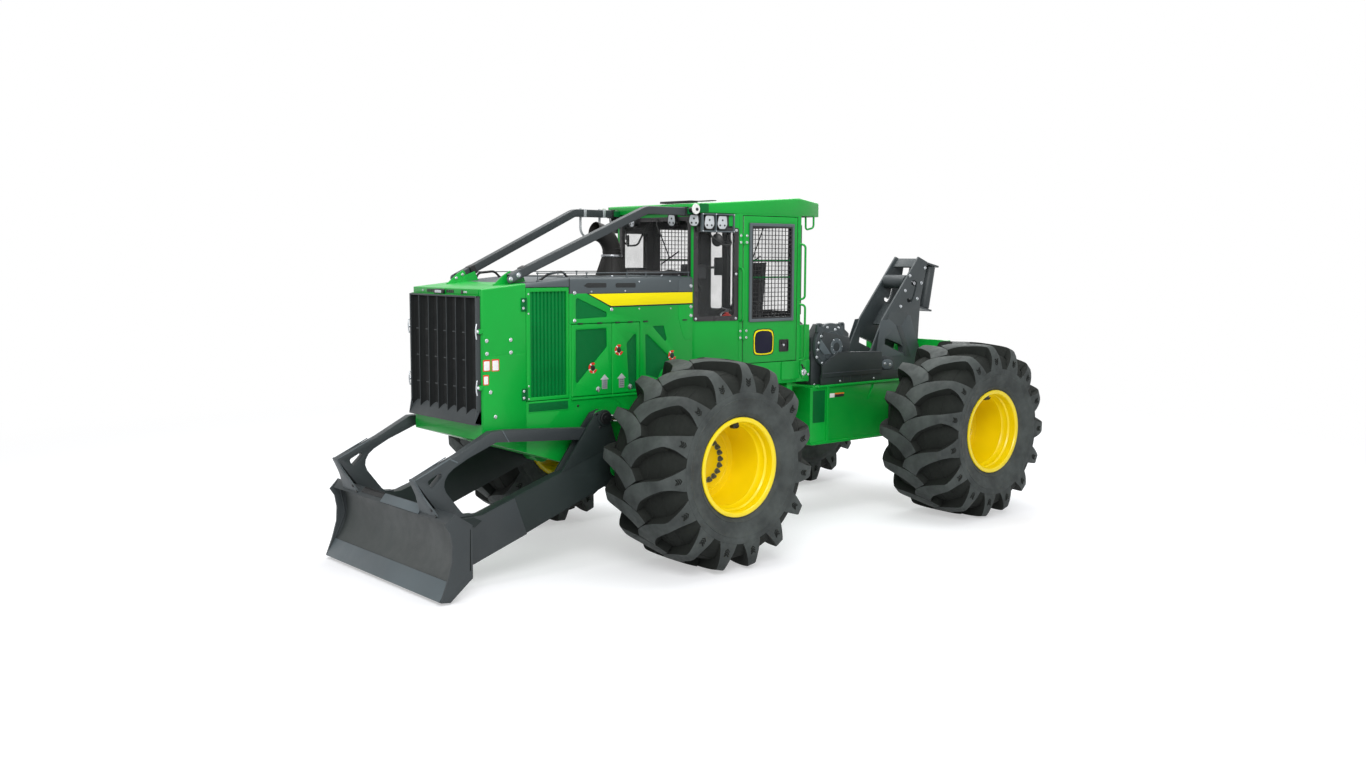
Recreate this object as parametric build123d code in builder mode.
from build123d import *
import math
import os

# An articulated cable skidder, in millimetres.
# +X is forward, +Y is to the driver's left and +Z is up. The ground is z = 0, and the
# origin lies under the middle of the machine's length.
# Unless a name says otherwise, an x is counted ahead of the hinge pin on the standard
# 3600 mm wheelbase, and a z is the height above the ground on the standard 915 mm tyres.
# place_x() and at() turn them into model places. On a longer wheelbase, what lies ahead
# of the cab moves forward with its axle and what lies behind the winch moves back.

# ---------------------------------------------------------------- driving sizes
wheelbase = 3600
track = 2620
tyre_radius = 915
tyre_width = 896
rim_radius = 433
rim_width = 796
blade_tip_reach = 4376
fairlead_reach = 2771

frame_width = 840
frame_plate = 30
hood_width = 1150
nose_front_x = 3660
nose_length = 432
hood_rear_x = 1372
hood_top_z = 2525
skin = 12

cab_width = 1400
cab_rear_x = -70
cab_base_z = 1470
cab_eave_z = 3118
cab_wall = 45
cab_door_front_x = 852
cab_door_length = 732
cab_door_thickness = 50
roof_front_x = 1400

side_door_thickness = 25
seam_z = 2125
door_foot_z = 1490

blade_width = 2070
arm_y = 690
arm_width = 110
lift_tower_x = 2538
lift_tower_z = 1308

steer_front = (560, 200)
steer_rear = (-120, 180)
steer_z = 1045

winch_drum_x = -790
winch_drum_z = 1690
arch_half_width = 180

# Clearances
moving_gap = 6
seat_gap = 0.3
pin_gap = 0.05

# ---------------------------------------------------------------- places worked out
standard_wheelbase = 3600
standard_tyre_radius = 915
stretch = (wheelbase - standard_wheelbase) / 2
body_lift = tyre_radius - standard_tyre_radius
hinge_x = (max(fairlead_reach + stretch, wheelbase / 2 + tyre_radius) - blade_tip_reach - stretch) / 2
axle_z = standard_tyre_radius
front_axle_x = standard_wheelbase / 2
rear_axle_x = -standard_wheelbase / 2
front_stretch_x = 1450
rear_stretch_x = -1100
frame_y = frame_width / 2
hood_y = hood_width / 2
cab_y = cab_width / 2
nose_rear_x = nose_front_x - nose_length
arm_pivot_x = front_axle_x + 600
arm_pivot_z = 850


def place_x(x):
    """The model's x for a place counted from the hinge pin."""
    if x > front_stretch_x:
        return hinge_x + x + stretch
    if x < rear_stretch_x:
        return hinge_x + x - stretch
    return hinge_x + x


def at(points):
    """Places in XZ counted from the hinge pin turned into model places."""
    return [(place_x(x), z + body_lift) for x, z in points]


def symmetric(points):
    """A closed outline in XY from its left half, front to rear."""
    return points + [(x, -y) for x, y in reversed(points)]


def plate(points, y_low, y_high):
    """A flat plate with its outline in XZ, between two Y planes."""
    with BuildPart() as solid:
        with BuildSketch(Plane.XZ.offset(-y_high)):
            with BuildLine():
                Polyline(*at(points), close=True)
            make_face()
        extrude(amount=y_high - y_low)
    return solid.part


def slab(points, z_low, z_high):
    """A flat slab with its outline in XY, between two heights."""
    with BuildPart() as solid:
        with BuildSketch(Plane.XY.offset(z_low + body_lift)):
            with BuildLine():
                Polyline(*[(place_x(x), y) for x, y in points], close=True)
            make_face()
        extrude(amount=z_high - z_low)
    return solid.part


def block(x_low, x_high, y_low, y_high, z_low, z_high):
    """A box between three pairs of limits."""
    return slab([(x_low, y_low), (x_high, y_low), (x_high, y_high), (x_low, y_high)], z_low, z_high)


def cross_bar(x, z, radius, y_low, y_high):
    """A round bar along Y."""
    with BuildPart() as solid:
        with BuildSketch(Plane.XZ.offset(-y_high)):
            with Locations((place_x(x), z + body_lift)):
                Circle(radius)
        extrude(amount=y_high - y_low)
    return solid.part


def post(x, y, radius, z_low, z_high):
    """A round bar along Z."""
    with BuildPart() as solid:
        with BuildSketch(Plane.XY.offset(z_low + body_lift)):
            with Locations((place_x(x), y)):
                Circle(radius)
        extrude(amount=z_high - z_low)
    return solid.part


def on_side(part, side):
    """A piece drawn on the left, or its mirror image on the right where side is -1."""
    return part if side > 0 else part.mirror(Plane.XZ)


os.makedirs("parts", exist_ok=True)
sides = (("left", 1), ("right", -1))

# ---------------------------------------------------------------- wheels
wheel_y = track / 2
disc_face_y = wheel_y - 80
disc_thickness = 24
hub_inner_y = disc_face_y - 190
spindle_radius = 90
hub_radius = 205
bead_radius = 406
bead_half_width = rim_width / 2 - 15
rim_wall = 12
tyre_wall = 32


def tyre(axle_x):
    """The carcass of the left wheel's tyre, open to the rim, out to the tips of its lugs."""
    half = tyre_width / 2
    outer = [
        (-bead_half_width, bead_radius + seat_gap),
        (-bead_half_width, rim_radius + 4),
        (-half * 0.95, bead_radius + 90),
        (-half, tyre_radius * 0.72),
        (-half * 0.96, tyre_radius * 0.9),
        (-half * 0.84, tyre_radius * 0.965),
        (0, tyre_radius),
    ]
    inner = [
        (0, tyre_radius - 3 * tyre_wall),
        (-half * 0.8 + tyre_wall, tyre_radius * 0.965 - 3 * tyre_wall),
        (-half + tyre_wall, tyre_radius * 0.72),
        (-half * 0.95 + tyre_wall + 12, bead_radius + 100),
        (-bead_half_width + 60, bead_radius + seat_gap),
    ]
    hub = Plane(origin=(place_x(axle_x), wheel_y, tyre_radius), x_dir=(0, 1, 0), z_dir=(1, 0, 0))
    with BuildPart() as solid:
        with BuildSketch(hub):
            with BuildLine():
                Polyline(*outer, *inner, close=True)
            make_face()
            mirror(about=Plane.YZ)
        revolve(axis=Axis((place_x(axle_x), wheel_y, tyre_radius), (0, 1, 0)))
    return solid.part


def rim(axle_x):
    """The left wheel's rim with its deep-set disc and planetary hub, bored for the spindle."""
    half = rim_width / 2
    disc = disc_face_y - wheel_y
    hub_end = hub_inner_y - wheel_y
    bore = spindle_radius + pin_gap
    section = [
        (half, bead_radius - rim_wall),
        (half, rim_radius),
        (half - 14, rim_radius),
        (half - 14, bead_radius),
        (-half + 14, bead_radius),
        (-half + 14, rim_radius),
        (-half, rim_radius),
        (-half, bead_radius - rim_wall),
        (disc - disc_thickness, bead_radius - rim_wall),
        (disc - disc_thickness, hub_radius),
        (hub_end, hub_radius),
        (hub_end, bore),
        (disc + 20, bore),
        (disc + 20, 0),
        (disc + 90, 0),
        (disc + 90, hub_radius - 65),
        (disc, hub_radius - 45),
        (disc, bead_radius - rim_wall),
    ]
    hub = Plane(origin=(place_x(axle_x), wheel_y, tyre_radius), x_dir=(0, 1, 0), z_dir=(1, 0, 0))
    with BuildPart() as solid:
        with BuildSketch(hub):
            with BuildLine():
                Polyline(*section, close=True)
            make_face()
        revolve(axis=Axis((place_x(axle_x), wheel_y, tyre_radius), (0, 1, 0)))
    return solid.part


for axle_name, axle_x in (("front", front_axle_x), ("rear", rear_axle_x)):
    left_tyre = tyre(axle_x)
    left_rim = rim(axle_x)
    for side_name, side in sides:
        with BuildPart() as wheel_tyre:
            add(on_side(left_tyre, side))
        wheel_tyre.part.label = f"tyre_{axle_name}_{side_name}"
        export_step(wheel_tyre.part, f"parts/tyre_{axle_name}_{side_name}.step")
        with BuildPart() as wheel_rim:
            add(on_side(left_rim, side))
        wheel_rim.part.label = f"rim_{axle_name}_{side_name}"
        export_step(wheel_rim.part, f"parts/rim_{axle_name}_{side_name}.step")

# ---------------------------------------------------------------- axles
bowl_radius = 235
trumpet_root_radius = 150
trumpet_end_radius = 115
saddle_z = axle_z + 165
saddle_half_length = 150
trumpet_end_y = hub_inner_y - 10
axle_flange = 30

for axle_name, axle_x in (("front", front_axle_x), ("rear", rear_axle_x)):
    half_section = [
        (0, 0),
        (0, bowl_radius),
        (130, bowl_radius),
        (250, trumpet_root_radius),
        (trumpet_end_y - axle_flange, trumpet_end_radius),
        (trumpet_end_y - axle_flange, hub_radius - 20),
        (trumpet_end_y, hub_radius - 20),
        (trumpet_end_y, spindle_radius),
        (disc_face_y, spindle_radius),
        (disc_face_y, 0),
    ]
    with BuildPart() as axle:
        middle = Plane(origin=(place_x(axle_x), 0, tyre_radius), x_dir=(0, 1, 0), z_dir=(1, 0, 0))
        with BuildSketch(middle):
            with BuildLine():
                Polyline(*half_section, close=True)
            make_face()
        revolve(axis=Axis((place_x(axle_x), 0, tyre_radius), (0, 1, 0)))
        # The pad under each frame plate
        add(block(axle_x - saddle_half_length, axle_x + saddle_half_length,
                  frame_y - frame_plate - 40, frame_y + 20, axle_z - 60, saddle_z))
        mirror(about=Plane.XZ)
    axle.part.label = f"{axle_name}_axle"
    export_step(axle.part, f"parts/{axle_name}_axle.step")

# ---------------------------------------------------------------- frames
hinge_pin_radius = 60
ear_radius = 130
ear_root_x = 250
upper_ear_z = (1240, 1290)
lower_ear_z = (800, 850)
ear_gap = 8
tongue_thickness = 50
axle_notch = saddle_half_length + 10
frame_end_z = 800
deck_z = 1400
rear_deck_z = 1372
rear_root_x = -390


def ear(root_x, root_half_width, z_low, z_high, bore):
    """A hinge plate that narrows to a round eye on the hinge axis."""
    tangent_x = ear_radius * 0.45 * math.copysign(1, root_x)
    tangent_y = ear_radius * 0.893
    with BuildPart() as solid:
        with BuildSketch(Plane.XY.offset(z_low + body_lift)):
            with BuildLine():
                Polyline((place_x(root_x), -root_half_width), (place_x(root_x), root_half_width),
                         (place_x(tangent_x), tangent_y), (place_x(tangent_x), -tangent_y),
                         close=True)
            make_face()
            with Locations((hinge_x, 0)):
                Circle(ear_radius)
            with Locations((hinge_x, 0)):
                Circle(bore, mode=Mode.SUBTRACT)
        extrude(amount=z_high - z_low)
    return solid.part


def steering_lug(x, y, root_x, pin_radius):
    """Two plates above and below a steering cylinder's eye, with a pin between them if it has one."""
    half_eye = steer_eye_thickness / 2 + moving_gap
    with BuildPart() as solid:
        for z_low in (steer_z - half_eye - 25, steer_z + half_eye):
            with BuildSketch(Plane.XY.offset(z_low + body_lift)):
                with Locations((place_x(x), y)):
                    Circle(62)
                with BuildLine():
                    Polyline((place_x(x), y - 62), (place_x(x), y + 62), (place_x(root_x), y + 62),
                             (place_x(root_x), y - 62), close=True)
                make_face()
            extrude(amount=25)
        if pin_radius > 0:
            with BuildSketch(Plane.XY.offset(steer_z - half_eye + body_lift)):
                with Locations((place_x(x), y)):
                    Circle(pin_radius)
            extrude(amount=2 * half_eye)
    return solid.part


steer_eye_radius = 55
steer_eye_thickness = 60
steer_pin_radius = 28
steer_barrel_radius = 50
steer_rod_radius = 28
steer_bulkhead_x = 650

front_outline = [
    (ear_root_x, frame_end_z), (ear_root_x, deck_z - 20), (hood_rear_x + 60, deck_z - 20),
    (hood_rear_x + 60, 1330), (2620, 1330), (2620, 880), (2350, frame_end_z),
    (front_axle_x + axle_notch, frame_end_z), (front_axle_x + axle_notch, saddle_z),
    (front_axle_x - axle_notch, saddle_z), (front_axle_x - axle_notch, frame_end_z),
]
arm_boss_radius = 95
arm_pin_radius = 50
lift_pivot_x = front_axle_x - 200
lift_pivot_z = 1200
lift_pin_radius = 34
lift_barrel_radius = 68

with BuildPart() as front_frame:
    add(plate(front_outline, frame_y - frame_plate, frame_y))
    # Boss and pin that carry the blade arm, and those that carry the lift cylinder
    add(cross_bar(arm_pivot_x, arm_pivot_z, arm_boss_radius, frame_y, arm_y - arm_width / 2 - moving_gap))
    add(cross_bar(arm_pivot_x, arm_pivot_z, arm_pin_radius,
                  frame_y, arm_y + arm_width / 2 + moving_gap))
    add(cross_bar(arm_pivot_x, arm_pivot_z, arm_pin_radius + 25,
                  arm_y + arm_width / 2 + moving_gap, arm_y + arm_width / 2 + moving_gap + 12))
    add(cross_bar(lift_pivot_x, lift_pivot_z, lift_pin_radius + 16, frame_y, arm_y - 30 - moving_gap))
    add(cross_bar(lift_pivot_x, lift_pivot_z, lift_pin_radius, frame_y, arm_y + 30 + moving_gap))
    add(cross_bar(lift_pivot_x, lift_pivot_z, lift_pin_radius + 20,
                  arm_y + 30 + moving_gap, arm_y + 30 + moving_gap + 10))
    # Outrigger that the cab stands on, behind the front wheel
    add(block(120, 200, frame_y, cab_y - 40, deck_z - 90, cab_base_z))
    add(block(1150, 1230, frame_y, cab_y - 40, deck_z - 90, cab_base_z))
    mirror(about=Plane.XZ)
    # Bulkheads across the frame, the rear one with a window for the steering cylinders
    add(block(ear_root_x, ear_root_x + 40, -frame_y, frame_y, frame_end_z, deck_z - 20))
    add(block(ear_root_x, ear_root_x + 40, -320, 320, 940, 1150), mode=Mode.SUBTRACT)
    add(block(steer_bulkhead_x, steer_bulkhead_x + 30, -frame_y, frame_y, frame_end_z, deck_z - 20))
    add(block(1350, 1380, -frame_y, frame_y, 1000, 1330))
    add(block(2590, 2620, -frame_y, frame_y, 880, 1330))
    add(block(front_axle_x + 250, front_axle_x + 280, -frame_y, frame_y, frame_end_z, 1180))
    # Deck that reaches back over the hinge under the cab
    add(block(cab_rear_x + 20, hood_rear_x + 60, -frame_y, frame_y, deck_z - 20, deck_z))
    add(block(0, 60, -frame_y, frame_y, deck_z, cab_base_z))
    add(block(1000, 1060, -frame_y, frame_y, deck_z, cab_base_z))
    # Hinge ears
    for z_low, z_high in (upper_ear_z, lower_ear_z):
        add(ear(ear_root_x, 200, z_low, z_high, hinge_pin_radius))
        add(post(0, 0, hinge_pin_radius, z_low, z_high))
    add(post(0, 0, hinge_pin_radius, upper_ear_z[0] - ear_gap - tongue_thickness - 15, upper_ear_z[1] + 12))
    add(post(0, 0, hinge_pin_radius, lower_ear_z[0] - 12, lower_ear_z[1] + ear_gap + tongue_thickness + 15))
    for side in (1, -1):
        add(steering_lug(steer_front[0], side * steer_front[1], steer_bulkhead_x, steer_pin_radius))
front_frame.part.label = "front_frame"
export_step(front_frame.part, "parts/front_frame.step")

butt_x = rear_axle_x - 650
rear_outline = [
    (rear_root_x, 775), (rear_root_x, rear_deck_z - 20),
    (butt_x, rear_deck_z - 20), (butt_x, 750),
    (rear_axle_x - axle_notch, 750), (rear_axle_x - axle_notch, saddle_z),
    (rear_axle_x + axle_notch, saddle_z), (rear_axle_x + axle_notch, 750), (-480, 750),
]
tongue_z = (
    (upper_ear_z[0] - ear_gap - tongue_thickness, upper_ear_z[0] - ear_gap),
    (lower_ear_z[1] + ear_gap, lower_ear_z[1] + ear_gap + tongue_thickness),
)

drawbar_x = butt_x - 90
drawbar_z = (660, 710)
drawbar_bore_radius = 26
tie_down_y = 440
tie_down_z = 700
tie_down_radius = 20

with BuildPart() as rear_frame:
    add(plate(rear_outline, frame_y - frame_plate, frame_y))
    # Ledges along the top and the foot of the side plate
    add(block(-480, butt_x, frame_y - 120, frame_y + 30, rear_deck_z - 20, rear_deck_z))
    add(block(rear_root_x, rear_axle_x + axle_notch, frame_y - 90, frame_y + 30, 750, 775))
    # Rib that stands out from the side plate behind the hinge
    add(block(-650, -620, frame_y, frame_y + 30, 775, rear_deck_z - 20))
    mirror(about=Plane.XZ)
    add(block(rear_root_x - 40, rear_root_x, -frame_y, frame_y, 775, rear_deck_z - 20))
    add(block(-480, butt_x, -frame_y + 40, frame_y - 40, rear_deck_z - 20, rear_deck_z))
    # Top plate that narrows towards the hinge, low enough to pass under the front deck
    add(slab(symmetric([(-280, 170), (-480, frame_y + 30)]), rear_deck_z - 20, rear_deck_z))
    add(block(-1180, -1150, -frame_y, frame_y, 775, rear_deck_z - 20))
    for z_low, z_high in tongue_z:
        add(ear(rear_root_x, 230, z_low, z_high, hinge_pin_radius + pin_gap))
    for side in (1, -1):
        add(steering_lug(steer_rear[0], side * steer_rear[1], rear_root_x, 0))
rear_frame.part.label = "rear_frame"
export_step(rear_frame.part, "parts/rear_frame.step")

# The plate that the logs ride against, with the drawbar bored through its foot
butt_thickness = 30
butt_half_width = frame_y + 140
butt_z = (640, 1780)
with BuildPart() as butt_plate:
    add(block(butt_x - butt_thickness, butt_x, -butt_half_width, butt_half_width, *butt_z))
    for side in (1, -1):
        add(block(butt_x - butt_thickness, butt_x + 40, side * butt_half_width - 40, side * butt_half_width + 40,
                  *butt_z))
    add(block(butt_x - 150, butt_x, -110, 110, *drawbar_z))
    add(post(drawbar_x, 0, drawbar_bore_radius, *drawbar_z), mode=Mode.SUBTRACT)
    # Tie-down holes low in the plate
    with BuildSketch(Plane.YZ.offset(place_x(butt_x))):
        with Locations((-tie_down_y, tie_down_z + body_lift), (tie_down_y, tie_down_z + body_lift)):
            Circle(tie_down_radius)
    extrude(amount=-butt_thickness, mode=Mode.SUBTRACT)
butt_plate.part.label = "butt_plate"
export_step(butt_plate.part, "parts/butt_plate.step")

# ---------------------------------------------------------------- belly and nose
belly_slope = 0.316
belly_front_z = 1180
skirt_top_z = door_foot_z - moving_gap
belly_rear_x = 2624
louvre_foot_z = 1483
nose_top_front_z = 2436
nose_top_rear_z = 2482
nose_wall_y = hood_y - skin
grille_half_width = hood_y - 27
grille_z = (1318, 2372)
post_width = 18
louvre_rear_x = 2784
louvre_top_z = 2442


# Doors in the engine bay's sides: name, front edge x, length, foot z, head z
side_doors = (
    ("louvre_door", 3222, 436, louvre_foot_z, louvre_top_z),
    ("front_engine_door", 2758, 436, door_foot_z, seam_z - moving_gap),
    ("rear_engine_door", 2316, 312, door_foot_z, seam_z - moving_gap),
)
door_pin_radius = 6
door_pin_depth = 18
door_hinge_y = hood_y - side_door_thickness / 2


def belly_z(x):
    """Height of the belly's sloping foot at a place along the nose."""
    return belly_front_z - belly_slope * (nose_front_x - x)


skirt_outline = [
    (nose_rear_x, belly_z(nose_rear_x)), (nose_rear_x, louvre_foot_z - moving_gap),
    (louvre_rear_x - 2, louvre_foot_z - moving_gap), (louvre_rear_x - 2, seam_z),
    (louvre_rear_x - 2 - post_width, seam_z), (louvre_rear_x - 2 - post_width, skirt_top_z),
    (hood_rear_x, skirt_top_z), (hood_rear_x, 1290), (2280, 1290),
    (belly_rear_x, belly_z(belly_rear_x)),
]
cooler_x = (2870, 3160)
cooler_foot_z = 1190
cooler_half_width = hood_y - 95

with BuildPart() as belly_guard:
    add(plate(skirt_outline, hood_y - skin, hood_y))
    # Tabs that bolt the skirts to the frame
    add(block(1440, 1500, frame_y, hood_y - skin, 1295, 1325))
    add(block(2540, 2600, frame_y, hood_y - skin, 1200, 1230))
    # Pins that the side doors stand on
    for name, front_x, length, foot_z, head_z in side_doors:
        add(post(front_x - side_door_thickness / 2, door_hinge_y, door_pin_radius,
                 foot_z - moving_gap - 20, foot_z + door_pin_depth))
    mirror(about=Plane.XZ)
    floor_line = [
        (nose_rear_x, belly_z(nose_rear_x)), (belly_rear_x, belly_z(belly_rear_x)),
        (belly_rear_x, belly_z(belly_rear_x) + skin), (nose_rear_x, belly_z(nose_rear_x) + skin),
    ]
    add(plate(floor_line, skin - hood_y, hood_y - skin))
    for rib_x in (cooler_x[0] + 40, cooler_x[1] - 52):
        add(block(rib_x, rib_x + skin, skin - hood_y, hood_y - skin, belly_z(rib_x), cooler_foot_z))
belly_guard.part.label = "belly_guard"
export_step(belly_guard.part, "parts/belly_guard.step")

nose_outline = [
    (nose_front_x, belly_front_z), (nose_front_x, nose_top_front_z), (nose_rear_x, nose_top_rear_z),
    (nose_rear_x, belly_z(nose_rear_x)),
]
nose_inner = [
    (nose_front_x - skin, belly_front_z + skin), (nose_front_x - skin, nose_top_front_z - skin),
    (nose_rear_x - 1, nose_top_rear_z - skin), (nose_rear_x - 1, belly_z(nose_rear_x) + skin),
]
pipe_width = 72
pipe_front = (3290, hood_y - 147, 2520)
pipe_bend = (1928, hood_y - 15, 3128)
pipe_rear_x = roof_front_x + seat_gap
pipe_corner_radius = 150
gusset_y = pipe_front[1] - pipe_width / 2 - seat_gap - 0.8

with BuildPart() as nose_housing:
    add(plate(nose_outline, -hood_y, hood_y))
    add(plate(nose_inner, -nose_wall_y, nose_wall_y), mode=Mode.SUBTRACT)
    add(block(nose_front_x - 60, nose_front_x + 20, 40 - grille_half_width, grille_half_width - 40,
              grille_z[0] + 45, grille_z[1] - 45), mode=Mode.SUBTRACT)
    for side in (1, -1):
        add(plate([(3470, nose_top_front_z - 10), (3330, 2545), (3262, 2585), (3240, 2560), (3240, 2470)],
                  side * gusset_y - (14 if side > 0 else 0), side * gusset_y + (0 if side > 0 else 14)))
nose_housing.part.label = "nose_housing"
export_step(nose_housing.part, "parts/nose_housing.step")

with BuildPart() as grille:
    add(block(nose_front_x, nose_front_x + 30, -grille_half_width, grille_half_width, *grille_z))
    for slot in range(7):
        slot_y = -grille_half_width + 30 + slot * (2 * grille_half_width - 60) / 7
        add(block(nose_front_x - 5, nose_front_x + 40, slot_y + 12,
                  slot_y + (2 * grille_half_width - 60) / 7 - 12, grille_z[0] + 120, grille_z[1] - 60),
            mode=Mode.SUBTRACT)
        add(block(nose_front_x, nose_front_x + 6, slot_y, slot_y + (2 * grille_half_width - 60) / 7,
                  grille_z[0] + 100, grille_z[1] - 40))
grille.part.label = "grille"
export_step(grille.part, "parts/grille.step")

with BuildPart() as cooling_pack:
    add(block(*cooler_x, -cooler_half_width, cooler_half_width, cooler_foot_z, 2380))
cooling_pack.part.label = "cooling_pack"
export_step(cooling_pack.part, "parts/cooling_pack.step")

# ---------------------------------------------------------------- engine and hood
engine_foot_z = 1180
with BuildPart() as engine_block:
    add(block(front_axle_x - 200, 2560, -300, 300, engine_foot_z, 1950))
engine_block.part.label = "engine_block"
export_step(engine_block.part, "parts/engine_block.step")

band_foot_z = 2387
kink_x = louvre_rear_x - 20
hood_outline = [
    (nose_rear_x, nose_top_rear_z), (kink_x, hood_top_z), (hood_rear_x, hood_top_z),
    (hood_rear_x, band_foot_z), (louvre_rear_x - 2, band_foot_z),
    (louvre_rear_x - 2, louvre_top_z + moving_gap), (nose_rear_x, louvre_top_z + moving_gap),
]
hood_inner = [
    (nose_rear_x + 1, nose_top_rear_z - skin), (kink_x, hood_top_z - skin),
    (hood_rear_x - 1, hood_top_z - skin), (hood_rear_x - 1, band_foot_z - 1), (nose_rear_x + 1, band_foot_z - 1),
]
with BuildPart() as hood_top:
    add(plate(hood_outline, -hood_y, hood_y))
    add(plate(hood_inner, -nose_wall_y, nose_wall_y), mode=Mode.SUBTRACT)
    # Pins that go down into the louvre doors
    for side in (1, -1):
        add(post(side_doors[0][1] - side_door_thickness / 2, side * door_hinge_y, door_pin_radius,
                 louvre_top_z - door_pin_depth, louvre_top_z + moving_gap + 20))
hood_top.part.label = "hood_top"
export_step(hood_top.part, "parts/hood_top.step")

rear_panel_front_x = 1998
side_outline = [
    (louvre_rear_x - 2, band_foot_z), (hood_rear_x, band_foot_z), (hood_rear_x, 2000),
    (hood_rear_x, skirt_top_z), (rear_panel_front_x, skirt_top_z), (rear_panel_front_x, seam_z),
    (louvre_rear_x - 2, seam_z),
]
with BuildPart() as hood_sides:
    add(plate(side_outline, hood_y - skin, hood_y))
    # Pins that go down into the engine doors
    for name, front_x, length, foot_z, head_z in side_doors[1:]:
        add(post(front_x - side_door_thickness / 2, door_hinge_y, door_pin_radius,
                 head_z - door_pin_depth, seam_z + 20))
    mirror(about=Plane.XZ)
hood_sides.part.label = "hood_sides"
export_step(hood_sides.part, "parts/hood_sides.step")

# ---------------------------------------------------------------- doors in the engine bay's sides
def hung_door(front_x, length, thickness, outer_y, foot_z, head_z, pin_radius):
    """A door on the left side, its front edge rounded about the hinge pins at its head and foot."""
    hinge = (front_x - thickness / 2, outer_y - thickness / 2)
    with BuildPart() as solid:
        add(block(front_x - length, hinge[0], outer_y - thickness, outer_y, foot_z, head_z))
        add(post(*hinge, thickness / 2, foot_z, head_z))
        for z_low, z_high in ((foot_z, foot_z + door_pin_depth + 4), (head_z - door_pin_depth - 4, head_z)):
            add(post(*hinge, pin_radius + pin_gap, z_low, z_high), mode=Mode.SUBTRACT)
    return solid.part


for name, front_x, length, foot_z, head_z in side_doors:
    left_door = hung_door(front_x, length, side_door_thickness, hood_y, foot_z, head_z, door_pin_radius)
    for side_name, side in sides:
        with BuildPart() as side_door:
            add(on_side(left_door, side))
        side_door.part.label = f"{name}_{side_name}"
        export_step(side_door.part, f"parts/{name}_{side_name}.step")

# ---------------------------------------------------------------- guard pipes and stack
stack_x = 1885
stack_radius = 86
stack_wall = 8
stack_cone_radius = 158
stack_cone_z = 2709
elbow_radius = 200
elbow_turn = 75

bend_y = pipe_bend[1]
pipe_path = [
    (place_x(pipe_front[0]), pipe_front[1], pipe_front[2] + body_lift),
    (place_x(pipe_bend[0]), bend_y, pipe_bend[2] + body_lift),
    (place_x(pipe_rear_x), bend_y, pipe_bend[2] + body_lift),
]
with BuildPart() as left_pipe:
    with BuildLine() as run:
        FilletPolyline(*pipe_path, radius=pipe_corner_radius)
    start = Plane(origin=run.line @ 0, x_dir=(0, 1, 0), z_dir=run.line % 0)
    with BuildSketch(start):
        RectangleRounded(pipe_width, pipe_width, 8)
    sweep()
for side_name, side in sides:
    with BuildPart() as guard_pipe:
        add(on_side(left_pipe.part, side))
    guard_pipe.part.label = f"guard_pipe_{side_name}"
    export_step(guard_pipe.part, f"parts/guard_pipe_{side_name}.step")

with BuildPart() as exhaust_stack:
    cone = [(0, hood_top_z), (stack_cone_radius, hood_top_z), (stack_radius + 8, stack_cone_z), (0, stack_cone_z)]
    with BuildSketch(Plane.XZ):
        with BuildLine():
            Polyline(*at([(stack_x + r, z) for r, z in cone]), close=True)
        make_face()
    revolve(axis=Axis((place_x(stack_x), 0, 0), (0, 0, 1)))
    with BuildLine(Plane.XZ) as elbow:
        rise = Line(*at([(stack_x, stack_cone_z), (stack_x, stack_cone_z + 31)]))
        turn = JernArc(rise @ 1, rise % 1, elbow_radius, -elbow_turn)
        Line(turn @ 1, turn @ 1 + (turn % 1) * 60)
    with BuildSketch(Plane.XY.offset(stack_cone_z + body_lift)):
        with Locations((place_x(stack_x), 0)):
            Circle(stack_radius)
            Circle(stack_radius - stack_wall, mode=Mode.SUBTRACT)
    sweep(path=elbow.line)
exhaust_stack.part.label = "exhaust_stack"
export_step(exhaust_stack.part, "parts/exhaust_stack.step")

# ---------------------------------------------------------------- cab
cab_front_x = hood_rear_x
cab_corner_x = cab_door_front_x + 53
floor_thickness = 40
door_sill_z = 1685
door_head_z = 3106
glass_thickness = 8
corner_glass_z = (2120, 3000)
windscreen_z = (2560, 3060)
rear_glass_z = (2150, 3020)
rear_glass_y = 490
corner_cut_x = 63
corner_cut_y = 560
ledge_z = 2040
plan = symmetric([(cab_front_x, hood_y), (cab_corner_x, cab_y), (cab_rear_x, cab_y)])
inner_plan = symmetric([
    (cab_front_x - cab_wall, hood_y - cab_wall * 0.9), (cab_corner_x - 6, cab_y - cab_wall),
    (cab_rear_x + cab_wall, cab_y - cab_wall),
])
# Above the ledge the rear corners are cut off, and each cut corner has a narrow window
upper_plan = symmetric([
    (cab_front_x, hood_y), (cab_corner_x, cab_y), (corner_cut_x, cab_y), (cab_rear_x, corner_cut_y),
])
upper_inner_plan = symmetric([
    (cab_front_x - cab_wall, hood_y - cab_wall * 0.9), (cab_corner_x - 6, cab_y - cab_wall),
    (corner_cut_x + 19, cab_y - cab_wall), (cab_rear_x + cab_wall, corner_cut_y - 18),
])
door_rear_x = cab_door_front_x - cab_door_length - moving_gap

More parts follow.
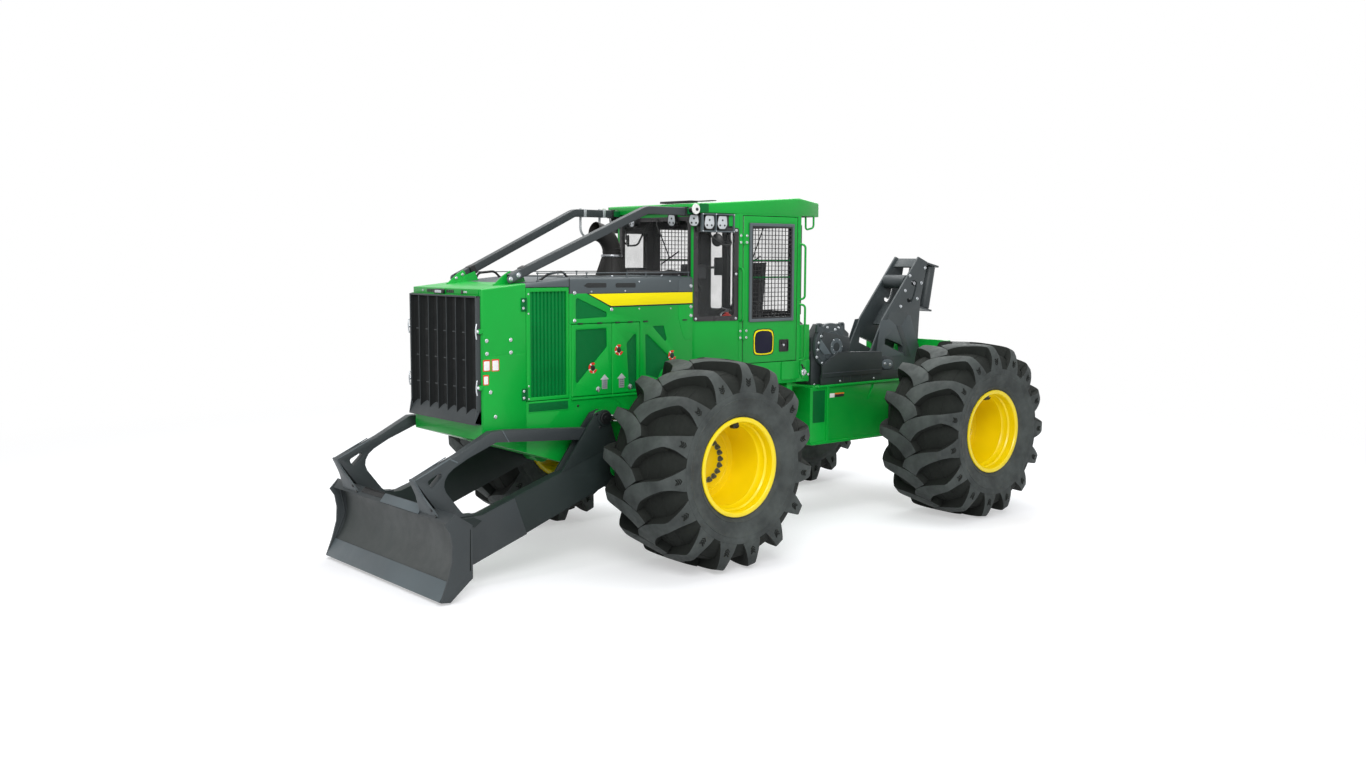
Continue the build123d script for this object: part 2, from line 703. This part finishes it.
# The slanted wall beside the windscreen, as a frame for its window
slant_length = math.hypot(cab_front_x - cab_corner_x, cab_y - hood_y)
slant_plane = Plane(
    origin=(place_x((cab_front_x + cab_corner_x) / 2), (hood_y + cab_y) / 2, body_lift + sum(corner_glass_z) / 2),
    x_dir=(cab_corner_x - cab_front_x, cab_y - hood_y, 0),
    z_dir=(cab_y - hood_y, cab_front_x - cab_corner_x, 0),
)
slant_window = (slant_length - 90, corner_glass_z[1] - corner_glass_z[0])
rear_slant_plane = Plane(
    origin=(place_x((corner_cut_x + cab_rear_x) / 2), (cab_y + corner_cut_y) / 2,
            body_lift + sum(rear_glass_z) / 2),
    x_dir=(cab_rear_x - corner_cut_x, corner_cut_y - cab_y, 0),
    z_dir=(corner_cut_y - cab_y, corner_cut_x - cab_rear_x, 0),
)
rear_slant_window = (math.hypot(corner_cut_x - cab_rear_x, cab_y - corner_cut_y) - 60,
                     rear_glass_z[1] - rear_glass_z[0])


def slant_panel(width, height, depth, offset, plane=slant_plane):
    """A panel in a slanted wall's plane, its outer face that far under the wall's face."""
    with BuildPart() as solid:
        with BuildSketch(plane.offset(-offset)):
            Rectangle(width, height)
        extrude(amount=-depth)
    return solid.part


with BuildPart() as cab_frame:
    add(slab(plan, cab_base_z, ledge_z))
    add(slab(upper_plan, ledge_z - 1, cab_eave_z))
    add(slab(inner_plan, cab_base_z + floor_thickness, ledge_z - 20), mode=Mode.SUBTRACT)
    add(slab(upper_inner_plan, ledge_z - 21, cab_eave_z), mode=Mode.SUBTRACT)
    for side in (1, -1):
        door_hole = block(door_rear_x, cab_door_front_x, cab_y - 80, cab_y + 10, door_sill_z, door_head_z)
        add(on_side(door_hole, side), mode=Mode.SUBTRACT)
        add(on_side(slant_panel(*slant_window, 80, -10), side), mode=Mode.SUBTRACT)
        add(on_side(slant_panel(*rear_slant_window, 80, -10, rear_slant_plane), side), mode=Mode.SUBTRACT)
    add(block(cab_front_x - 80, cab_front_x + 10, 60 - hood_y, hood_y - 60, *windscreen_z), mode=Mode.SUBTRACT)
    add(block(cab_rear_x - 10, cab_rear_x + 80, -rear_glass_y, rear_glass_y, *rear_glass_z), mode=Mode.SUBTRACT)
    # Pins that the doors hang on, and stops behind their rear edges
    for side in (1, -1):
        hinge_y = side * (cab_y - cab_door_thickness / 2)
        hinge_px = cab_door_front_x - moving_gap - cab_door_thickness / 2
        add(post(hinge_px, hinge_y, 12, door_sill_z, door_sill_z + moving_gap + 22))
        add(post(hinge_px, hinge_y, 12, door_head_z - moving_gap - 22, door_head_z))
cab_frame.part.label = "cab_frame"
export_step(cab_frame.part, "parts/cab_frame.step")

with BuildPart() as cab_glass:
    add(block(cab_front_x - 30, cab_front_x - 30 + glass_thickness, 60 - hood_y + seat_gap, hood_y - 60 - seat_gap,
              windscreen_z[0] + seat_gap, windscreen_z[1] - seat_gap))
    add(block(cab_rear_x + 20, cab_rear_x + 20 + glass_thickness, -rear_glass_y + seat_gap,
              rear_glass_y - seat_gap, rear_glass_z[0] + seat_gap, rear_glass_z[1] - seat_gap))
    for side in (1, -1):
        pane = slant_panel(slant_window[0] - 2 * seat_gap, slant_window[1] - 2 * seat_gap, glass_thickness, 16)
        add(on_side(pane, side))
        pane = slant_panel(rear_slant_window[0] - 2 * seat_gap, rear_slant_window[1] - 2 * seat_gap, glass_thickness,
                           16, rear_slant_plane)
        add(on_side(pane, side))
cab_glass.part.label = "cab_glass"
export_step(cab_glass.part, "parts/cab_glass.step")

roof_side_rear_x = 90
roof_rear_x = -345
roof_rear_half = 550
roof_profile = [
    (roof_rear_x, cab_eave_z), (roof_front_x, cab_eave_z), (roof_front_x, 3202), (roof_side_rear_x, 3292),
    (roof_rear_x, 3262),
]
with BuildPart() as cab_roof:
    roof_plan = symmetric([(roof_front_x, cab_y), (roof_side_rear_x, cab_y), (roof_rear_x, roof_rear_half)])
    add(slab(roof_plan, cab_eave_z, 3300))
    with BuildSketch(Plane.XZ.offset(-cab_y)):
        with BuildLine():
            Polyline(*at(roof_profile), close=True)
        make_face()
    extrude(amount=2 * cab_y, mode=Mode.INTERSECT)
cab_roof.part.label = "cab_roof"
export_step(cab_roof.part, "parts/cab_roof.step")

door_window_x = (cab_door_front_x - cab_door_length + 80, cab_door_front_x - 92)
door_window_z = (2100, 3005)
left_cab_door = hung_door(cab_door_front_x - moving_gap, cab_door_length - moving_gap, cab_door_thickness, cab_y,
                          door_sill_z + moving_gap, door_head_z - moving_gap, 12)
for side_name, side in sides:
    with BuildPart() as cab_door:
        add(on_side(left_cab_door, side))
        add(block(*door_window_x, *sorted((side * (cab_y - 80), side * (cab_y + 10))), *door_window_z),
            mode=Mode.SUBTRACT)
    cab_door.part.label = f"cab_door_{side_name}"
    export_step(cab_door.part, f"parts/cab_door_{side_name}.step")
    with BuildPart() as door_glass:
        pane_y = sorted((side * (cab_y - 18), side * (cab_y - 18 - glass_thickness)))
        add(block(door_window_x[0] + seat_gap, door_window_x[1] - seat_gap, *pane_y,
                  door_window_z[0] + seat_gap, door_window_z[1] - seat_gap))
    door_glass.part.label = f"door_glass_{side_name}"
    export_step(door_glass.part, f"parts/door_glass_{side_name}.step")

floor_z = cab_base_z + floor_thickness
seat_x = 330
with BuildPart() as seat_base:
    add(block(seat_x - 200, seat_x + 220, -210, 210, floor_z, floor_z + 330))
    add(block(seat_x - 260, seat_x + 260, -250, 250, floor_z + 330, floor_z + 370))
seat_base.part.label = "seat_base"
export_step(seat_base.part, "parts/seat_base.step")

with BuildPart() as seat_cushion:
    add(block(seat_x - 230, seat_x + 270, -245, 245, floor_z + 370 + seat_gap, floor_z + 490))
    fillet(seat_cushion.edges().filter_by(Axis.Z), 50)
seat_cushion.part.label = "seat_cushion"
export_step(seat_cushion.part, "parts/seat_cushion.step")

with BuildPart() as seat_backrest:
    back = [(seat_x - 235, floor_z + 490 + seat_gap), (seat_x - 110, floor_z + 490 + seat_gap),
            (seat_x - 205, floor_z + 1180), (seat_x - 300, floor_z + 1180)]
    add(plate(back, -230, 230))
seat_backrest.part.label = "seat_backrest"
export_step(seat_backrest.part, "parts/seat_backrest.step")

with BuildPart() as console:
    for side in (1, -1):
        arm_rest = block(seat_x - 160, seat_x + 300, 300, 400, floor_z, floor_z + 560)
        add(on_side(arm_rest, side))
        add(post(seat_x + 260, side * 350, 22, floor_z + 560, floor_z + 700))
    dash = [(1150, floor_z), (cab_front_x - cab_wall, floor_z), (cab_front_x - cab_wall, 2500), (1230, 2500),
            (1150, 2380)]
    add(plate(dash, -420, 420))
    # Low channel that ties the arm rests to the dash
    add(block(seat_x + 240, 1150, -400, 400, floor_z, floor_z + 12))
console.part.label = "console"
export_step(console.part, "parts/console.step")

# ---------------------------------------------------------------- blade
blade_half = blade_width / 2
cheek = 20
blade_cheek_outline = [
    (4327, 27), (4266, 180), (4222, 330), (4216, 457), (4234, 560), (4278, 627), (4196, 712), (4062, 592),
    (4070, 158), (4244, 16),
]
mould_thickness = 16
arm_inner_y = arm_y - arm_width / 2
arm_outer_y = arm_y + arm_width / 2
blade_back_x = 4040
guard_tip_z = 951

with BuildPart() as blade:
    with BuildSketch(Plane.XZ.offset(-blade_half)):
        with BuildLine():
            foot, waist, head = at([(4240, 165), (4128, 400), (4196, 690)])
            foot_back, waist_back, head_back = at([(4222, 150), (4128 - mould_thickness, 400), (4176, 690)])
            ThreePointArc(foot, waist, head)
            Line(head, head_back)
            ThreePointArc(head_back, waist_back, foot_back)
            Line(foot_back, foot)
        make_face()
    extrude(amount=blade_width)
    # Cutting edge, its backing box, and the top rail
    add(plate([(4327, 27), (4240, 172), (4205, 172), (4292, 27)], -blade_half, blade_half))
    add(plate([(4222, 150), (4222, 172), (blade_back_x, 250), (blade_back_x, 180), (4240, 34), (4292, 27)],
              -blade_half, blade_half))
    add(plate([(4196, 712), (4176, 660), (blade_back_x, 560), (blade_back_x, 606)], -blade_half, blade_half))
    add(plate([(4252, 640), (4196, 712), (4170, 690), (4190, 655)], -blade_half, blade_half))
    add(plate([(blade_back_x, 180), (blade_back_x + 16, 180), (blade_back_x + 16, 606), (blade_back_x, 606)],
              -blade_half, blade_half))
    for side in (1, -1):
        add(on_side(plate(blade_cheek_outline, blade_half - cheek, blade_half), side))
blade.part.label = "blade"
export_step(blade.part, "parts/blade.step")

beam_top = [(blade_back_x, 600), (3778, 608), (2990, 869)]
beam_foot = [(blade_back_x, 200), (3853, 207), (arm_pivot_x + 40, arm_pivot_z - 118)]
tower_eye_radius = 70
lift_eye_half = 26
lift_tower_pin_radius = 24
with BuildPart() as push_arms:
    beam = beam_top + [(arm_pivot_x + 200, 1010), (arm_pivot_x, arm_pivot_z + 120), (arm_pivot_x - 40, arm_pivot_z)]
    add(plate(beam + list(reversed(beam_foot)), arm_inner_y, arm_outer_y))
    add(cross_bar(arm_pivot_x, arm_pivot_z, 120, arm_inner_y, arm_outer_y))
    # Tower of two plates that hold the lift cylinder's eye between them
    tower = [(arm_pivot_x - 60, arm_pivot_z + 60), (2475, 1300), (2538, 1376), (2620, 1350), (2716, 1232),
             (2990, 869), (2800, 800)]
    for y_low, y_high in ((arm_inner_y, arm_y - lift_eye_half - moving_gap),
                          (arm_y + lift_eye_half + moving_gap, arm_outer_y)):
        add(plate(tower, y_low, y_high))
    add(cross_bar(lift_tower_x, lift_tower_z, tower_eye_radius, arm_outer_y, arm_outer_y + 20))
    add(cross_bar(lift_tower_x, lift_tower_z, lift_tower_pin_radius, arm_inner_y, arm_outer_y))
    add(cross_bar(arm_pivot_x, arm_pivot_z, arm_pin_radius + pin_gap, arm_inner_y, arm_outer_y),
        mode=Mode.SUBTRACT)
    mirror(about=Plane.XZ)
push_arms.part.label = "push_arms"
export_step(push_arms.part, "parts/push_arms.step")

guard_width = 84
with BuildPart() as blade_guards:
    add(plate([(4200, 715), (blade_tip_reach, guard_tip_z), (3988, 1114), (3670, 1277), (3508, 1280), (2722, 1232),
               (2797, 1134), (3622, 1186), (3887, 1082), (4026, 1010), (4078, 968), (4106, 920), (4112, 872),
               (4094, 824), (4002, 705), (4042, 609)],
              arm_y - guard_width / 2, arm_y + guard_width / 2))
    add(plate([(4252, 912), (4256, 930), (4246, 942), (4166, 982), (4146, 982), (4132, 970), (4132, 956),
               (4206, 886), (4222, 878), (4236, 888)],
              arm_y - guard_width, arm_y + guard_width), mode=Mode.SUBTRACT)
    mirror(about=Plane.XZ)
blade_guards.part.label = "blade_guards"
export_step(blade_guards.part, "parts/blade_guards.step")

# ---------------------------------------------------------------- lift cylinders
lift_length = math.hypot(lift_tower_x - lift_pivot_x, lift_tower_z - lift_pivot_z)
lift_barrel_length = 560
lift_rod_radius = 32
lift_rod_length = 590
lift_stroke = 262
lift_eye_radius = 62
lift_eye_bore = 38


def cylinder_plane(start_xz, end_xz, y):
    """A plane at a cylinder's pivot, X along the cylinder and Z along its pin."""
    return Plane(
        origin=(place_x(start_xz[0]), y, start_xz[1] + body_lift),
        x_dir=(end_xz[0] - start_xz[0], 0, end_xz[1] - start_xz[1]),
        z_dir=(0, -1, 0),
    )


lift_plane = cylinder_plane((lift_pivot_x, lift_pivot_z), (lift_tower_x, lift_tower_z), arm_y)
lift_end_plane = Plane(origin=lift_plane.origin, x_dir=(0, 1, 0), z_dir=lift_plane.x_dir)

with BuildPart() as left_lift_barrel:
    with BuildSketch(lift_plane.offset(-30)):
        Circle(lift_barrel_radius)
        Circle(lift_pin_radius + pin_gap, mode=Mode.SUBTRACT)
    extrude(amount=60)
    with BuildSketch(lift_end_plane.offset(lift_barrel_radius - 6)):
        Circle(lift_barrel_radius - 8)
    extrude(amount=lift_barrel_length - lift_barrel_radius + 6)
    with BuildSketch(lift_end_plane.offset(lift_length - lift_rod_length - lift_stroke - 10)):
        Circle(lift_rod_radius + pin_gap)
    extrude(amount=lift_barrel_length, mode=Mode.SUBTRACT)

with BuildPart() as left_lift_rod:
    with BuildSketch(lift_end_plane.offset(lift_length - lift_rod_length)):
        Circle(lift_rod_radius)
    extrude(amount=lift_rod_length - 40)
    with BuildSketch(lift_plane.offset(-lift_eye_half)):
        with Locations((lift_length, 0)):
            Circle(lift_eye_radius)
    extrude(amount=2 * lift_eye_half)
    with BuildSketch(lift_plane.offset(-lift_eye_half)):
        with Locations((lift_length, 0)):
            Circle(lift_eye_bore)
    extrude(amount=2 * lift_eye_half, mode=Mode.SUBTRACT)

# ---------------------------------------------------------------- steering cylinders
steer_length = math.hypot(steer_front[0] - steer_rear[0], steer_front[1] - steer_rear[1])
steer_barrel_length = 420
steer_rod_length = 460
steer_stroke = 140

steer_plane = Plane(
    origin=(place_x(steer_front[0]), steer_front[1], steer_z + body_lift),
    x_dir=(steer_rear[0] - steer_front[0], steer_rear[1] - steer_front[1], 0),
    z_dir=(0, 0, 1),
)
steer_end_plane = Plane(origin=steer_plane.origin, x_dir=(0, 0, 1), z_dir=steer_plane.x_dir)

with BuildPart() as left_steer_barrel:
    with BuildSketch(steer_plane.offset(-steer_eye_thickness / 2)):
        Circle(steer_eye_radius)
        Circle(steer_pin_radius + pin_gap, mode=Mode.SUBTRACT)
    extrude(amount=steer_eye_thickness)
    with BuildSketch(steer_end_plane.offset(steer_eye_radius - 8)):
        Circle(steer_barrel_radius)
    extrude(amount=steer_barrel_length - steer_eye_radius + 8)
    with BuildSketch(steer_plane.offset(-steer_barrel_radius - 1)):
        Circle(steer_eye_radius + 12)
    extrude(amount=steer_barrel_radius + 1 - steer_eye_thickness / 2, mode=Mode.SUBTRACT)
    with BuildSketch(steer_plane.offset(steer_eye_thickness / 2)):
        Circle(steer_eye_radius + 12)
    extrude(amount=steer_barrel_radius + 1 - steer_eye_thickness / 2, mode=Mode.SUBTRACT)
    with BuildSketch(steer_end_plane.offset(steer_length - steer_rod_length - steer_stroke - 8)):
        Circle(steer_rod_radius + pin_gap)
    extrude(amount=steer_barrel_length, mode=Mode.SUBTRACT)

with BuildPart() as left_steer_rod:
    with BuildSketch(steer_end_plane.offset(steer_length - steer_rod_length)):
        Circle(steer_rod_radius)
    extrude(amount=steer_rod_length - steer_eye_radius + 12)
    with BuildSketch(steer_plane.offset(-steer_eye_thickness / 2)):
        with Locations((steer_length, 0)):
            Circle(steer_eye_radius)
            Circle(steer_pin_radius, mode=Mode.SUBTRACT)
    extrude(amount=steer_eye_thickness)

cylinders = (
    ("lift_barrel", left_lift_barrel), ("lift_rod", left_lift_rod),
    ("steer_barrel", left_steer_barrel), ("steer_rod", left_steer_rod),
)
for name, left_piece in cylinders:
    for side_name, side in sides:
        with BuildPart() as cylinder_piece:
            add(on_side(left_piece.part, side))
        cylinder_piece.part.label = f"{name}_{side_name}"
        export_step(cylinder_piece.part, f"parts/{name}_{side_name}.step")

# ---------------------------------------------------------------- winch
winch_case_y = (236, 340)
winch_shaft_radius = 50
drum_core_radius = 140
drum_flange_radius = 232
winch_front_x = -480
winch_rear_x = -1060

with BuildPart() as winch_housing:
    case = [
        (winch_front_x, rear_deck_z), (winch_front_x, 1850), (-600, 2010), (-900, 2010), (winch_rear_x, 1900),
        (winch_rear_x, rear_deck_z),
    ]
    add(plate(case, *winch_case_y))
    add(cross_bar(winch_drum_x + 60, winch_drum_z + 90, 215, winch_case_y[1], winch_case_y[1] + 50))
    add(cross_bar(winch_drum_x, winch_drum_z, winch_shaft_radius + pin_gap, winch_case_y[0], winch_case_y[0] + 40),
        mode=Mode.SUBTRACT)
    mirror(about=Plane.XZ)
    for tie_x in (winch_front_x - 60, winch_rear_x):
        add(block(tie_x, tie_x + 60, -winch_case_y[1], winch_case_y[1], rear_deck_z, rear_deck_z + 80))
winch_housing.part.label = "winch_housing"
export_step(winch_housing.part, "parts/winch_housing.step")

with BuildPart() as winch_drum:
    add(cross_bar(winch_drum_x, winch_drum_z, winch_shaft_radius, -winch_case_y[0] - 36, winch_case_y[0] + 36))
    add(cross_bar(winch_drum_x, winch_drum_z, drum_core_radius, -winch_case_y[0] + 8, winch_case_y[0] - 8))
    for side in (1, -1):
        flange = cross_bar(winch_drum_x, winch_drum_z, drum_flange_radius, winch_case_y[0] - 28, winch_case_y[0] - 8)
        add(on_side(flange, side))
winch_drum.part.label = "winch_drum"
export_step(winch_drum.part, "parts/winch_drum.step")

guard_front_x = -545
guard_rear_x = -1498
band_rear_x = -1800
tray_foot_z = 1475
guard_plate = 15
with BuildPart() as winch_guards:
    # Low band along the frame, and the tray above it that covers the winch's foot
    add(block(band_rear_x, guard_front_x, frame_y - guard_plate, frame_y, rear_deck_z, tray_foot_z))
    tray = [(guard_front_x, tray_foot_z - 20), (guard_front_x, 1572), (-790, 1702), (guard_rear_x, 1680),
            (guard_rear_x, tray_foot_z - 20)]
    add(plate(tray, frame_y, frame_y + guard_plate))
    add(block(guard_rear_x, guard_rear_x + guard_plate, 345, frame_y, rear_deck_z, 1680))
    mirror(about=Plane.XZ)
winch_guards.part.label = "winch_guards"
export_step(winch_guards.part, "parts/winch_guards.step")

# ---------------------------------------------------------------- arch
arch_plate = 22
roller_gap = 8
top_roller = (-2240, 2435)
top_roller_radius = 80
arch_outline = [
    (-1560, rear_deck_z), (-1610, 1678), (-1800, 2031), (-2401, 2724), (-2560, 2664), (-2446, 2223), (-2415, 1724),
    (-2300, rear_deck_z),
]
arch_window = [
    (-1784, 1745), (-1794, 1805), (-1830, 1806), (-2060, 1730), (-2094, 1706), (-2096, 1640), (-2070, 1634),
]
guide_head = (-2690, 2606)
guide_foot = (-2592, 2130)
guide_radius = 60
guide_shaft_radius = 20
guide_y = 115
guide_length = math.dist(guide_head, guide_foot)
down = ((guide_foot[0] - guide_head[0]) / guide_length, (guide_foot[1] - guide_head[1]) / guide_length)
bracket_thickness = 20


def guide_bracket(seat, lift, front, rear):
    """A plate across the guide rollers' ends, from a front to a rear reach square to them."""
    corners = []
    for along, across in ((lift, front), (lift, -rear), (lift + bracket_thickness, -rear),
                          (lift + bracket_thickness, front)):
        corners.append((seat[0] - down[0] * along - down[1] * across, seat[1] - down[1] * along + down[0] * across))
    return plate(corners, -arch_half_width, arch_half_width)


def guide_bar(radius, past_ends, side):
    """A round bar on a guide roller's leaning axis."""
    head_plane = Plane(
        origin=(place_x(guide_head[0]), side * guide_y, guide_head[1] + body_lift), x_dir=(0, 1, 0),
        z_dir=(down[0], 0, down[1]),
    )
    with BuildPart() as solid:
        with BuildSketch(head_plane.offset(-past_ends)):
            Circle(radius)
        extrude(amount=guide_length + 2 * past_ends)
    return solid.part


head_rear = (fairlead_reach + guide_head[0] - (roller_gap + bracket_thickness) * down[0]) / -down[1]

with BuildPart() as arch:
    add(plate(arch_outline, arch_half_width - arch_plate, arch_half_width))
    add(plate(arch_window, arch_half_width - arch_plate - 5, arch_half_width + 5), mode=Mode.SUBTRACT)
    # Flared foot boxes outside each plate
    add(plate([(-1640, rear_deck_z), (-1690, 1600), (-1900, 2100), (-2200, 2100), (-2380, 1700), (-2300, rear_deck_z)],
              arch_half_width, arch_half_width + 70))
    add(plate([(x, z) for x, z in arch_window], arch_half_width - 5, arch_half_width + 75), mode=Mode.SUBTRACT)
    mirror(about=Plane.XZ)
    # Cross plates between the sides, and the shaft holes of the top roller
    cross = arch_half_width - arch_plate
    add(plate([(-1640, rear_deck_z), (-1660, 1640), (-1690, 1640), (-1670, rear_deck_z)], -cross, cross))
    add(plate([(-2020, 1950), (-2200, 2180), (-2216, 2168), (-2036, 1938)], -cross, cross))
    add(plate([(-2360, 2610), (-2440, 2704), (-2456, 2690), (-2376, 2596)], -cross, cross))
    add(cross_bar(*top_roller, 30 + pin_gap, -cross - 12, cross + 12), mode=Mode.SUBTRACT)
    # Brackets at the head and foot of the guide rollers
    add(guide_bracket(guide_head, roller_gap, 160, head_rear))
    add(guide_bracket(guide_foot, -roller_gap - bracket_thickness, 175, 70))
    for side in (1, -1):
        add(guide_bar(guide_shaft_radius + pin_gap, 60, side), mode=Mode.SUBTRACT)
arch.part.label = "arch"
export_step(arch.part, "parts/arch.step")

with BuildPart() as top_roller_part:
    add(cross_bar(*top_roller, top_roller_radius, -cross + roller_gap, cross - roller_gap))
    add(cross_bar(*top_roller, 30, -cross - 10, cross + 10))
top_roller_part.part.label = "top_roller"
export_step(top_roller_part.part, "parts/top_roller.step")

for side_name, side in sides:
    with BuildPart() as guide:
        add(guide_bar(guide_radius, 0, side))
        add(guide_bar(guide_shaft_radius, roller_gap + bracket_thickness - 2, side))
    guide.part.label = f"guide_roller_{side_name}"
    export_step(guide.part, f"parts/guide_roller_{side_name}.step")
